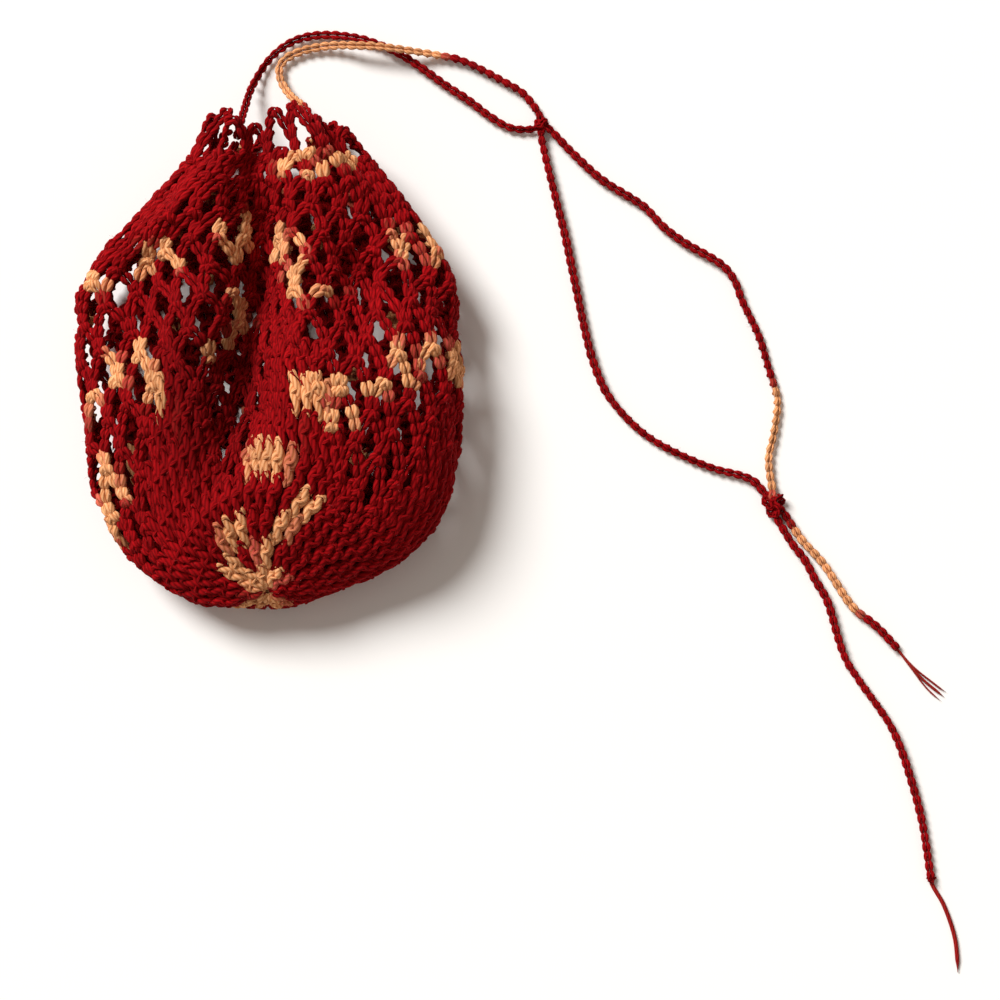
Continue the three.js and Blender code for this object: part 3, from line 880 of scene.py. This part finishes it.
def yarn_material(name):
    """Cotton yarn of a few plies, dyed red and peach, with a soft surface, and painted shade that
    darkens the grooves between the plies.
    """
    graph = Graph(name)
    tone = graph.node("ShaderNodeAttribute", "Fac", attribute_name="tone")
    shade = graph.node("ShaderNodeAttribute", "Fac", attribute_name="shade")
    uv = graph.node("ShaderNodeUVMap", 0, uv_map="yarn")
    along = graph.node("ShaderNodeSeparateXYZ", 0, {0: uv})
    around = graph.node("ShaderNodeSeparateXYZ", 1, {0: uv})
    ply = (around * (2 * math.pi * PLIES) + along * 2.3).sine() * 0.5 + 0.5
    fine = (around * (2 * math.pi * 26) - along * 3.0 + graph.noise(900) * 9).sine() * 0.5 + 0.5
    rough = graph.noise(1500, 4.0)
    mottle = graph.noise(120, 4.0)
    change = (tone + (mottle - 0.5) * 0.5 * (tone * (1 - tone)) * 4).clamp()
    light = graph.mix((change * 2).clamp(), RED, PINK)
    light = graph.mix((change * 2 - 1).clamp(), light, CREAM)
    # Painted shade: the colour darkens towards the grooves between the plies, mixed with random
    # mottled tone
    groove_shade = graph.mix(change, GROOVE_SHADE_RED, GROOVE_SHADE_CREAM)
    ply_shade_and_mottle = (ply.power(0.7) * 0.75 + fine * 0.12 + rough * 0.3 + (mottle - 0.5) * 0.5).clamp()
    colour = graph.mix(ply_shade_and_mottle, groove_shade, light)
    # the shade attribute: random tone of each stitch times the painted shade on the left
    colour = graph.node(
        "ShaderNodeMix", 2, {0: 1.0, 6: colour, 7: shade}, data_type="RGBA", blend_type="MULTIPLY",
    )
    graph.put("Base Color", colour)
    height = ply.power(0.6) * 0.55 + fine * 0.12 + rough * 0.33
    graph.put("Normal", graph.node(
        "ShaderNodeBump", 0, {"Strength": 0.8, "Distance": 0.00035, "Height": height},
    ))
    graph.surface.inputs["Roughness"].default_value = 0.92
    graph.surface.inputs["Specular IOR Level"].default_value = 0.06
    return graph.material


def shade_sheet_material():
    """Painted shade: the dark colour of the sheet between the stitches, standing for the shade
    there.
    """
    graph = Graph("ground_painted_shade")
    mottle = graph.noise(260, 4.0)
    # Painted shade: near-black red, with a random mottle
    graph.put("Base Color", graph.mix(mottle, (0.035, 0.001, 0.0015, 1), (0.14, 0.003, 0.004, 1)))
    graph.put("Normal", graph.node(
        "ShaderNodeBump", 0, {"Strength": 0.7, "Distance": 0.0006, "Height": graph.noise(700)},
    ))
    graph.surface.inputs["Roughness"].default_value = 0.95
    graph.surface.inputs["Specular IOR Level"].default_value = 0.1
    return graph.material


def fibre_material():
    """Loose cotton fibres that stand off the yarn, coloured paler than the yarn as a painted
    highlight of the fuzz.
    """
    graph = Graph("fibres")
    tone = graph.node("ShaderNodeAttribute", "Fac", attribute_name="tone")
    mottle = graph.noise(300)
    # Painted highlight: a paler red and peach than the yarn's own
    light = graph.mix(mottle, (0.36, 0.01, 0.015, 1), (0.55, 0.07, 0.07, 1))
    graph.put("Base Color", graph.mix(tone, light, (0.9, 0.62, 0.40, 1)))
    graph.surface.inputs["Roughness"].default_value = 0.9
    return graph.material


def build_fibres(name, sources, number, material):
    """Short curled fibres on random places of the yarn."""
    points, tones = [], []
    weights = np.array([batch.count for batch in sources], float)
    for batch, share in zip(sources, weights / weights.sum()):
        verts = np.concatenate(batch.verts)
        tone = np.concatenate(batch.tone)
        pick = rng.integers(0, len(verts), int(number * share))
        points.append(verts[pick])
        tones.append(tone[pick])
    root, tone = np.concatenate(points), np.concatenate(tones)
    count = len(root)
    way = unit(rng.standard_normal((count, 3)) + [0, 0, 0.5])
    bend = unit(rng.standard_normal((count, 3)))
    size = (0.5 + 1.1 * rng.random(count) ** 2)[:, None]
    side = unit(np.cross(way, bend)) * 0.028
    steps = np.array([0, 0.5, 1.0])
    line = root[:, None] + size[:, None] * (
        way[:, None] * steps[None, :, None] + 0.6 * bend[:, None] * (steps ** 2)[None, :, None]
    )
    line[..., 2] = np.maximum(line[..., 2], LOWEST)
    verts = np.stack([line - side[:, None], line + side[:, None]], 2).reshape(-1, 3)
    base = (np.arange(count) * 6)[:, None, None]
    faces = (base + np.array([[0, 1, 3, 2], [2, 3, 5, 4]])[None]).reshape(-1, 4)
    return mesh_piece(name, verts * MM, faces, material, tone=np.repeat(tone, 6))


yarn = yarn_material("crochet_yarn")
link, tie, stitch = chain_link(), wrap(), tall_stitch()

# The two halves of the drawstring, with their knots and loose ends
upper, lower, tail = (KNOTS[name][0] for name in ("upper", "lower", "tail"))
left_line = smooth(LEFT_ROUTE + [upper] + INNER_ROUTE + [lower] + LONG_TAIL_ROUTE + [tail])
right_line = smooth(RIGHT_ROUTE + [upper] + OUTER_ROUTE + [lower] + SHORT_TAIL_ROUTE)


def neck_line():
    run = NECK_RUN
    angles = np.linspace(run["from"], run["to"] - 2 * math.pi, 17)
    ring = [
        [
            run["x"] + run["halfWidth"] * math.sin(a), run["y"],
            run["z"] + run["halfHeight"] * math.cos(a),
        ]
        for a in angles
    ]
    leads = [[-11.7, 77.8, 20.2], [-12.0, 75.5, 21.0]]
    ends = [[16.1, 82.2, 21.4], [15.6, 84.1, 20.3]]
    return smooth(leads + ring + ends)


cord_batches = {
    "cord_left": build_cord("cord_left", left_line, link, (0.3, 0.5, 0.05)),
    "cord_right": build_cord("cord_right", right_line, link, (-0.2, 0.6, 0.04), RIGHT_PEACH),
    "cord_neck": build_cord("cord_neck", neck_line(), link, (0.0, 0.4, 0.05)),
}
cords = {name: batch.piece(yarn) for name, batch in cord_batches.items()}

knots = {}
for name, (at, half) in KNOTS.items():
    wide = 2.6 if name != "tail" else 1.5
    line = knot_line(at, half, wide)
    batch = Batch("tied_" + name)
    links = int(length_of(line) / KNOT_LINK)
    starts = np.arange(links) * length_of(line) / links
    frames = cord_frames(line, starts, length_of(line) / links, (0.0, 3.0, 0.4))
    batch.lay(link, frames, np.full(links, wide / 3.5), cord_tone(line))
    knots[name] = batch.piece(yarn)
    cord_batches["knot_" + name] = batch

long_end = Batch("yarn_long_end")
build_tube(long_end, smooth(LONG_YARN_ROUTE, YARN_REST, 1.0), 1.55, 8, 0.05)
short_end = Batch("yarn_short_end")
for off, wide in ((0.0, 1.0), (0.9, 0.7), (-0.8, 0.6)):
    ply = smooth(SHORT_YARN_ROUTE, YARN_REST, 1.0)
    spread = np.linspace(0, 1, len(ply)) ** 1.5
    wave = 0.4 * np.sin(np.linspace(0, 9, len(ply)) + 2 * off)
    ply[:, 0] += (off * 1.6 + wave) * spread
    ply[:, 1] += off * 1.9 * spread
    build_tube(short_end, ply, wide, 6, 0.1)
long_yarn, short_yarn = long_end.piece(yarn), short_end.piece(yarn)

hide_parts("drawstring_left", "strand_inner", "tail_long")
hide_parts("drawstring_right", "strand_outer", "tail_short")
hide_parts("drawstring_neck")
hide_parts("yarn_long")
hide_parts("yarn_short")
for name, piece in knots.items():
    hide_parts("knot_" + name)

# The pouch
pouch_batches = [*build_net(link, tie), build_rim(link), *build_dense(stitch)]
pouch_pieces = [batch.piece(yarn) for batch in pouch_batches]
shade_sheet, ground_area = build_ground(shade_sheet_material())
fibres = build_fibres(
    "fibres", [*pouch_batches, *cord_batches.values()], FIBRES, fibre_material(),
)
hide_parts("pouch")


def build_stage():
    """White surface and soft light from the upper left."""
    graph = Graph("white_surface")
    graph.surface.inputs["Base Color"].default_value = (0.93, 0.93, 0.93, 1)
    graph.surface.inputs["Roughness"].default_value = 0.7
    bpy.ops.mesh.primitive_plane_add(size=6, location=(0, 0, 0))
    floor = bpy.context.object
    floor.name = "floor"
    floor.data.materials.append(graph.material)

    data = bpy.data.lights.new("window", "SUN")
    data.angle = math.radians(24)
    data.energy = 4.3
    data.color = (1.0, 0.985, 0.96)
    light = bpy.data.objects.new("window", data)
    light.rotation_euler = Vector((0.55, -0.60, -0.68)).to_track_quat("-Z", "Y").to_euler()
    light.location = (-0.55, 0.60, 0.68)
    bpy.context.collection.objects.link(light)

    world = bpy.data.worlds.new("room")
    world.use_nodes = True
    world.node_tree.nodes["Background"].inputs["Color"].default_value = (1, 0.87, 0.76, 1)
    world.node_tree.nodes["Background"].inputs["Strength"].default_value = 0.31
    bpy.context.scene.world = world
    bpy.context.scene.view_settings.view_transform = "Standard"


build_stage()
